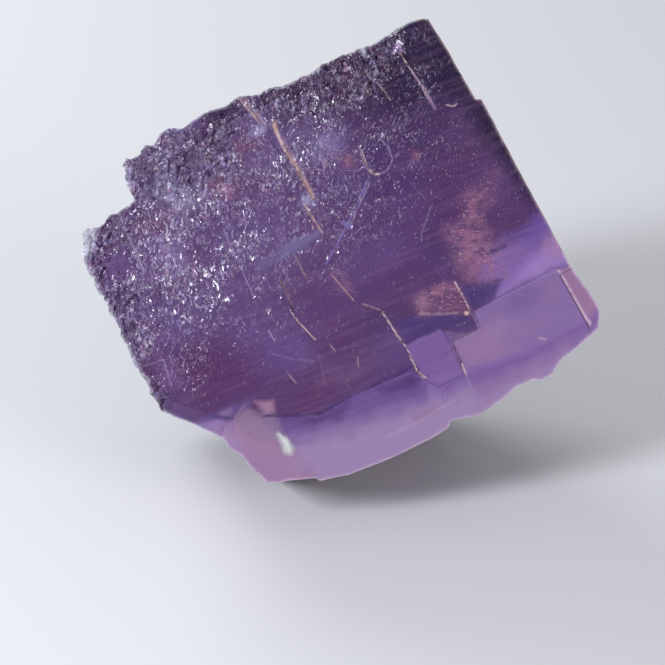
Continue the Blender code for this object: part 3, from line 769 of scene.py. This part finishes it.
# Facets that reach well behind the face are sides (square to it), cleavage planes (every
# part of the normal is 1/sqrt(3)) or rough breaks (the rest).
BEHIND_FACE = -3.2
CLEAVAGE_PART = 0.577
lowest = np.full(len(facet_normal), np.inf)
np.minimum.at(lowest, facet_of_face, points[faces].min(1)[:, 2])
flatness = np.abs(facet_normal)
deep = (lowest < BEHIND_FACE) & (facet_normal[:, 2] < 0.5)
is_side = flatness[:, 2] < 0.15
is_cleavage = np.abs(flatness - CLEAVAGE_PART).max(1) < 0.06
kind = np.where(is_side, 0, np.where(is_cleavage, 1, 2))[facet_of_face]
on_deep = deep[facet_of_face]
share_of_kind = np.hstack([to_points((kind == k) * 1.0, on_deep) for k in range(3)])
pressed = (
    share_of_kind[:, 0] * cube_side_depth(points)
    + share_of_kind[:, 1] * cleavage_depth(points)
    + share_of_kind[:, 2] * break_depth(points)
)
outward = to_points(facet_normal[facet_of_face], on_deep)
outward /= np.maximum(np.linalg.norm(outward, axis=1), 1e-9)[:, None]
shift = -outward * pressed[:, None]

touches_deep = share_of_kind.sum(1) > 0
touches_front = to_points(np.ones(len(faces)), ~on_deep)[:, 0] > 0
rim = np.flatnonzero(touches_deep & touches_front & (points[:, 2] > -6))
followers = np.flatnonzero(~touches_deep)
nearest_rim = np.empty(len(followers), int)
rim_gap = np.empty(len(followers))
for some in np.array_split(np.arange(len(followers)), 60):  # in parts, to save memory
    gap = ((points[followers[some], None, :2] - points[None, rim, :2]) ** 2).sum(2)
    nearest_rim[some] = rim[gap.argmin(1)]
    rim_gap[some] = np.sqrt(gap.min(1))
shift[followers] = shift[nearest_rim] * np.clip(1 - rim_gap / RIM_REACH, 0, 1)[:, None]
sunk = face_depth(points) * np.clip(1 + points[:, 2] / FACE_DEPTH_ENDS, 0, 1)
shift[:, 2] -= np.where(points[:, 2] > -FACE_DEPTH_ENDS, sunk, 0)

height = to_world(points)[:, 2]
shift *= np.clip(height / BASE_FADE, 0, 1)[:, None]
moved = points + shift

# Each point's colour: the violet body with slow clouds, then the zones, clouds, veils and
# seams one over another, each drawing the colour a share of the way to its own.
# The zones reach back into the crystal; the veils, seams and etching lie on its face.
ZONES_REACH = 9.0
SURFACE_REACH = 2.5
across_face = moved[:, :2]
on_face = np.clip(1 + points[:, 2] / ZONES_REACH, 0, 1)
near_face = np.clip(1 + points[:, 2] / SURFACE_REACH, 0, 1)
skewed = points @ SKEW
slow = 0.70 + 0.30 * soft_noise(skewed, 8.0, 51) + 0.22 * soft_noise(skewed, 2.6, 52)
colour = np.array(VIOLET) * slow[:, None]
strokes_share = stroked(across_face) * near_face
lumps_share = lumpy(across_face) * near_face


def tint(colour, share, towards):
    """The colour moved by a share of the way towards another."""
    return colour + share[:, None] * (np.array(towards) - colour)


# The body wanders between a redder and a bluer violet, and the etching greys it.
reddish = 2.4 * soft_noise(points, 5.5, 60) - 1.2
colour = tint(colour, 0.6 * np.clip(reddish, 0, 1), MAGENTA)
colour = tint(colour, 0.6 * np.clip(-reddish, 0, 1), BLUE_VIOLET)
colour = tint(colour, np.clip(0.35 * strokes_share + 0.25 * lumps_share, 0, 1), FROST_GREY)
# The softer a zone's edge, the more it sways.
sway = [soft_noise(across_face, 1.7, seed) - 0.5 for seed in (63, 64)]
sway = np.stack(sway, 1) + 0.2 * (soft_noise(across_face, 0.5, 65) - 0.5)[:, None]
for outline, soft, towards, strength in ZONES:
    spots = across_face + min(soft, 1.2) * sway
    fading = near_face if towards is SILVER_HIGHLIGHT else on_face
    colour = tint(colour, strength * fading * zone(spots, outline, soft), towards)
ragged = 0.5 + soft_noise(across_face, 0.9, 58)
for middle, radii, towards, strength in CLOUDS:
    share = strength * near_face * ragged * mound(across_face, middle, radii)
    colour = tint(colour, share, towards)
wisps = clouds(across_face @ [[1, 0.3], [-0.3, 1]], 0.7, 53, 3.2, 0.9)
wisps *= clouds(across_face, 2.0, 54, 2.5, 0.3)
veil_share = np.zeros(len(points))
for outline, soft, towards, strength in VEILS:
    share = strength * on_face * zone(across_face, outline, soft)
    colour = tint(colour, share * (0.3 + 0.7 * wisps), towards)
    veil_share = np.maximum(veil_share, share * near_face)
for path, width, towards, strength in SEAMS:
    broken = np.clip(2.6 * soft_noise(across_face, 0.45, 55) + 0.05, 0.45, 1)
    share = strength * line(across_face, path, width) * broken * near_face
    colour = tint(colour, share, towards)
# Painted silver highlights along those edges.
for path, width, strength in HIGHLIGHTED_EDGES:
    share = strength * line(across_face, path, width) * near_face * (0.45 + 0.55 * wisps)
    colour = tint(colour, share, SILVER_HIGHLIGHT)
    lumps_share = np.maximum(lumps_share, 0.7 * share)

# Painted highlights along the rim, where it catches the light: cream on the right, pale below,
# silver on the left.
RIM_HIGHLIGHT_WIDTH = 0.32
rim_highlight = np.zeros(len(points))
rim_highlight[rim] = 1
rim_highlight[followers] = np.clip(1 - rim_gap / RIM_HIGHLIGHT_WIDTH, 0, 1)
rim_highlight *= np.clip(0.35 + soft_noise(points, 0.8, 59), 0, 1)
right, low = across_face[:, 0] > 22.5, across_face[:, 1] < -15
colour = tint(colour, 0.6 * rim_highlight * (right & ~low), RIM_HIGHLIGHT_CREAM)
colour = tint(colour, 0.8 * rim_highlight * low, RIM_PALE)
colour = tint(colour, 0.7 * rim_highlight * (~right & ~low), SILVER_HIGHLIGHT)

# Behind the face the colour lies in bands parallel to it, and the breaks are frosted.
BANDS_START = 6
BREAK_GREY = (0.31, 0.24, 0.41)
bent_depth = points[:, 2:] + 0.8 * soft_noise(points, 5.0, 56)[:, None]
bands = soft_noise(bent_depth, 3.4, 57) - 0.35
behind = np.clip(-points[:, 2] / BANDS_START, 0, 1)
colour *= (1 - 0.55 * behind * bands)[:, None]
cloven, broken_off = share_of_kind[:, 1], share_of_kind[:, 2]
patches = clouds(skewed, 4.2, 66, 2.4, 0.7)
colour = tint(colour, cloven * (0.12 + 0.40 * patches), BREAK_GREY)
colour = tint(colour, broken_off * (0.35 + 0.35 * patches), BREAK_GREY)
rough = 0.12 + 0.12 * strokes_share + 0.16 * lumps_share + 0.14 * share_of_kind[:, 0]
rough += cloven * (0.06 + 0.16 * patches) + 0.30 * broken_off
rough += 0.14 * share_of_kind[:, 0] * patches

# Specks of dust and tiny flakes, painted pale as glints, lie thickest over the middle and the
# upper right, and thin out along the right edge and on the foot.
RIGHT_EDGE = ((18.6, 15.5), (20, 21), (27, 21), (27, -12), (20.5, 4))
FOOT = ((-31, -11), (26, -18), (27, -31), (-31, -31))
in_the_middle = 0.35 + 0.65 * mound(across_face, (10.0, 3.0), (10.0, 9.0))
upper_right = mound(across_face, (13.0, 13.5), (10.0, 6.0))
specks_share = near_face * np.maximum(in_the_middle, upper_right)
specks_share *= 1 - 0.75 * zone(across_face, RIGHT_EDGE, 2)
specks_share *= 1 - 0.8 * zone(across_face, FOOT, 4)

SHARP_EDGE = math.radians(26)
crystal_mesh = bpy.data.meshes.new("fluorite_crystal_surface")
crystal_mesh.from_pydata(to_world(moved), [], faces)
body_colour = np.hstack([np.clip(colour, 0, 1), np.ones((len(points), 1))])
crystal_mesh.attributes.new("body_colour", "FLOAT_COLOR", "POINT").data.foreach_set(
    "color", body_colour.astype(np.float32).ravel()
)
for name, values in (
    ("strokes", strokes_share),
    ("lumps", lumps_share),
    ("veil", veil_share),
    ("specks", specks_share),
    ("rough", rough),
):
    crystal_mesh.attributes.new(name, "FLOAT", "POINT").data.foreach_set(
        "value", values.astype(np.float32)
    )
crystal_mesh.shade_smooth()
crystal_mesh.set_sharp_from_angle(angle=SHARP_EDGE)
crystal = bpy.data.objects.new("fluorite_crystal_surface", crystal_mesh)
bpy.context.scene.collection.objects.link(crystal)

# Clear violet mineral: it lets light through and swallows green most. The etching lies over
# it as pale flecks, which are painted glints, and dark gaps, which are painted shade in its
# hollows, on facets that slope their own way.
FLUORITE_IOR = 1.434
CLEARNESS = 0.52
ABSORBED = (0.33, 0.03, 0.53, 1)
ABSORPTION_DENSITY = 60
BUMP_HEIGHT = 0.00018
# Colours of the painted glints; the rose also tints long streaks, the warm one the veils' fibres.
GLINT_BLUE = (0.42, 0.34, 0.64, 1)
GLINT_AND_STREAK_ROSE = (0.56, 0.33, 0.52, 1)
GLINT_WHITE = (0.8, 0.74, 0.95, 1)
FLECK_WARM = (0.8, 0.5, 0.52, 1)
# The colour of the painted shade in the etching's hollows.
GAP_SHADE = (0.06, 0.022, 0.075, 1)
fluorite = bpy.data.materials.new("purple_fluorite")
fluorite.use_nodes = True
nodes = fluorite.node_tree.nodes
links = fluorite.node_tree.links
shader = nodes["Principled BSDF"]
shader.inputs["IOR"].default_value = FLUORITE_IOR
shader.inputs["Transmission Weight"].default_value = CLEARNESS


def node(kind, values=(), **settings):
    """A new node of the crystal's material, with these properties and input values."""
    made = nodes.new(kind)
    for name, value in settings.items():
        setattr(made, name, value)
    for name, value in values:
        made.inputs[name].default_value = value
    return made


place = node("ShaderNodeTexCoord").outputs["Object"]


def drawn(lengths, turn, seed):
    """The place turned to the crystal's axes and a way on the face, and squeezed by these
    sizes in mm."""
    axes = upright @ Matrix.Rotation(TURN + math.radians(turn), 4, "Z")
    values = (
        ("Rotation", axes.to_euler()),
        ("Location", (0.011 * seed, 0.023 * seed, 0)),
        ("Scale", [size * MM for size in lengths]),
    )
    mapping = node("ShaderNodeMapping", values, vector_type="TEXTURE")
    links.new(place, mapping.inputs["Vector"])
    return mapping.outputs["Vector"]


def join(made, values):
    """Sets the numbered inputs of a node: a socket is linked, a number or colour is set."""
    for index, value in values:
        if isinstance(value, bpy.types.NodeSocket):
            links.new(value, made.inputs[index])
        else:
            made.inputs[index].default_value = value


def reckon(operation, first, second, kind="ShaderNodeMath"):
    """A Math or Vector Math node on two sockets or values."""
    made = node(kind, operation=operation)
    join(made, ((0, first), (1, second)))
    vector = kind == "ShaderNodeVectorMath" and operation != "DOT_PRODUCT"
    return made.outputs["Vector" if vector else "Value"]


def times(first, second):
    return reckon("MULTIPLY", first, second)


def most(first, second):
    return reckon("MAXIMUM", first, second)


def strokes(lengths, turn, seed, detail=1.5):
    """Noise drawn out into strokes of these sizes."""
    noise = node("ShaderNodeTexNoise", (("Scale", 1.0), ("Detail", detail)))
    links.new(drawn(lengths, turn, seed), noise.inputs["Vector"])
    return noise.outputs["Fac"]


def facets(lengths, turn, seed):
    """Small facets of these sizes in mm: a Voronoi pattern, whose cells each slope their own
    way, by the place in the cell times a random direction. Also a number for each cell."""
    place_in = drawn(lengths, turn, seed)
    cells = node("ShaderNodeTexVoronoi", (("Scale", 1.0),), voronoi_dimensions="2D")
    links.new(place_in, cells.inputs["Vector"])
    off = reckon("SUBTRACT", place_in, cells.outputs["Position"], "ShaderNodeVectorMath")
    lean = reckon("SUBTRACT", cells.outputs["Color"], (0.5, 0.5, 0.5), "ShaderNodeVectorMath")
    lean = reckon("MULTIPLY", lean, (1, 1, 0), "ShaderNodeVectorMath")
    slope = reckon("DOT_PRODUCT", off, lean, "ShaderNodeVectorMath")
    parts = node("ShaderNodeSeparateColor")
    links.new(cells.outputs["Color"], parts.inputs["Color"])
    return slope, parts.outputs["Red"]


def ramped(value, low, high):
    """0 under low, 1 over high."""
    values = (("From Min", low), ("From Max", high))
    span = node("ShaderNodeMapRange", values, interpolation_type="SMOOTHSTEP")
    links.new(value, span.inputs["Value"])
    return span.outputs["Result"]


def attribute(name, output="Fac"):
    return node("ShaderNodeAttribute", attribute_name=name).outputs[output]


def mixed(factor, first, second):
    """A colour Mix node: from first to second by factor."""
    made = node("ShaderNodeMix", data_type="RGBA")
    join(made, ((0, factor), (6, first), (7, second)))
    return made.outputs["Result"]


# The painted glints, as pale flecks: strokes that rise to the right, strokes that fall, with
# crumbs among them, bright blocks and grains of the lumpy strips, and specks. They come in
# clusters.
clusters = reckon("ADD", ramped(strokes((3.0, 2.2, 2.6), 0, 5, 0), 0.38, 0.62), 0.3)
domains = ramped(strokes((2.4, 1.8, 2.0), 30, 12, 0), 0.42, 0.58)
rising = ramped(strokes((0.90, 0.24, 0.6), 34, 1), 0.57, 0.68)
falling = ramped(strokes((0.70, 0.26, 0.6), 96, 2), 0.58, 0.70)
crumbs = ramped(strokes((0.42, 0.32, 0.4), 0, 13, 1), 0.60, 0.72)
falling = most(falling, crumbs)
falling = times(falling, reckon("SUBTRACT", 1.15, domains))
rising = times(rising, reckon("ADD", domains, 0.15))
stroked_part, lumpy_part = attribute("strokes"), attribute("lumps")
stroke_glints = times(most(rising, falling), stroked_part)
block_slope, block_number = facets((1.00, 0.45, 0.8), 58, 21)
grain_slope, grain_number = facets((0.50, 0.24, 0.4), 70, 22)
lump_strokes = ramped(strokes((0.75, 0.30, 0.5), 55, 6), 0.60, 0.68)
lump_glints = most(ramped(block_number, 0.80, 0.95), lump_strokes)
lump_glints = times(lump_glints, lumpy_part)
etched = most(lumpy_part, stroked_part)
grain_glints = times(ramped(grain_number, 0.84, 0.97), etched)
specks = ramped(strokes((0.42, 0.22, 0.4), 50, 7), 0.66, 0.71)
speck_glints = times(specks, attribute("specks"))
veil_strokes = ramped(strokes((0.50, 0.18, 0.4), -25, 8), 0.55, 0.72)
veil_flecks = times(veil_strokes, attribute("veil"))
# Painted shade: the hollows of the etching are darkened.
shaded_gaps = most(lumpy_part, times(stroked_part, 0.6))
shaded_hollows = ramped(strokes((1.5, 0.55, 0.9), 52, 9), 0.54, 0.40)
shaded_hollows = most(shaded_hollows, ramped(block_number, 0.34, 0.16))
shaded_gaps = times(shaded_hollows, shaded_gaps)
glints = most(most(stroke_glints, lump_glints), grain_glints)
glints = times(glints, clusters)
glints = reckon("MINIMUM", most(glints, speck_glints), 1.0)

glint_colour = mixed(ramped(strokes((1.6, 1.6, 1.6), 0, 3, 0), 0.50, 0.60), GLINT_BLUE, GLINT_AND_STREAK_ROSE)
brightest = ramped(strokes((0.9, 0.7, 0.9), 0, 23, 0), 0.54, 0.66)
glint_colour = mixed(brightest, glint_colour, GLINT_WHITE)
streaks = times(ramped(strokes((6.0, 0.40, 3.0), -8, 11, 0), 0.45, 0.75), 0.06)
painted = mixed(streaks, attribute("body_colour", "Color"), GLINT_AND_STREAK_ROSE)
painted = mixed(times(veil_flecks, 0.6), painted, FLECK_WARM)
painted = mixed(times(shaded_gaps, 0.75), painted, GAP_SHADE)
# Painted glints: pale flecks over the body colour.
painted = mixed(times(glints, 0.75), painted, glint_colour)
links.new(painted, shader.inputs["Base Color"])
base_rough = attribute("rough")
rough_total = reckon("ADD", base_rough, times(glints, 0.2))
links.new(rough_total, shader.inputs["Roughness"])

# The bump: a fine grain where the surface is rough, the painted glints and the sloping facets.
coarse = most(reckon("SUBTRACT", base_rough, 0.13), 0.0)
grain = times(strokes((0.35, 0.30, 0.35), 20, 4, 1), coarse)
bump = node("ShaderNodeBump", (("Strength", 0.6), ("Distance", BUMP_HEIGHT)))
slopes = reckon("ADD", times(block_slope, 3.0), times(grain_slope, 2.0))
slopes = times(slopes, etched)
links.new(reckon("ADD", reckon("ADD", grain, glints), slopes), bump.inputs["Height"])
links.new(bump.outputs["Normal"], shader.inputs["Normal"])

absorption = (("Color", ABSORBED), ("Density", ABSORPTION_DENSITY))
absorb = node("ShaderNodeVolumeAbsorption", absorption)
links.new(absorb.outputs["Volume"], nodes["Material Output"].inputs["Volume"])
crystal_mesh.materials.append(fluorite)
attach(crystal, "root")
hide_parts(NODE)

# ------------------------------
# The studio: a plain pale floor and soft lights.
# ------------------------------
FLOOR_SIDE = 4.0
FLOOR_GREY = (0.56, 0.555, 0.565, 1)
floor_mesh = bpy.data.meshes.new("floor")
half = FLOOR_SIDE / 2
corners = [(-half, -half, 0), (half, -half, 0), (half, half, 0), (-half, half, 0)]
floor_mesh.from_pydata(corners, [], [(0, 1, 2, 3)])
floor = bpy.data.objects.new("floor", floor_mesh)
bpy.context.scene.collection.objects.link(floor)
floor_paint = bpy.data.materials.new("floor_paint")
floor_paint.use_nodes = True
floor_shader = floor_paint.node_tree.nodes["Principled BSDF"]
floor_shader.inputs["Base Color"].default_value = FLOOR_GREY
floor_shader.inputs["Roughness"].default_value = 0.7
floor_mesh.materials.append(floor_paint)

LIT_POINT = Vector((0, 0, 0.03))


def soft_light(name, place, width, height, power, colour):
    """A lamp with a rectangular window, turned towards the middle of the crystal."""
    data = bpy.data.lights.new(name, "AREA")
    data.shape = "RECTANGLE"
    data.size = width
    data.size_y = height
    data.energy = power
    data.color = colour
    lamp = bpy.data.objects.new(name, data)
    lamp.location = place
    lamp.rotation_euler = (LIT_POINT - Vector(place)).to_track_quat("-Z", "Y").to_euler()
    bpy.context.scene.collection.objects.link(lamp)


soft_light("key_light", (-0.38, -0.36, 0.32), 0.16, 0.16, 4.3, (0.90, 0.94, 1.0))
soft_light("fill_light", (0.40, -0.42, 0.22), 0.30, 0.25, 1.9, (1.0, 0.96, 0.98))
soft_light("back_light", (-0.30, 0.40, 0.32), 0.3, 0.2, 2.4, (0.92, 0.95, 1.0))

world = bpy.data.worlds.new("studio")
world.use_nodes = True
surroundings = world.node_tree.nodes["Background"]
surroundings.inputs["Color"].default_value = (0.9, 0.92, 1.0, 1)
surroundings.inputs["Strength"].default_value = 0.36
bpy.context.scene.world = world
bpy.context.scene.view_settings.view_transform = "Standard"
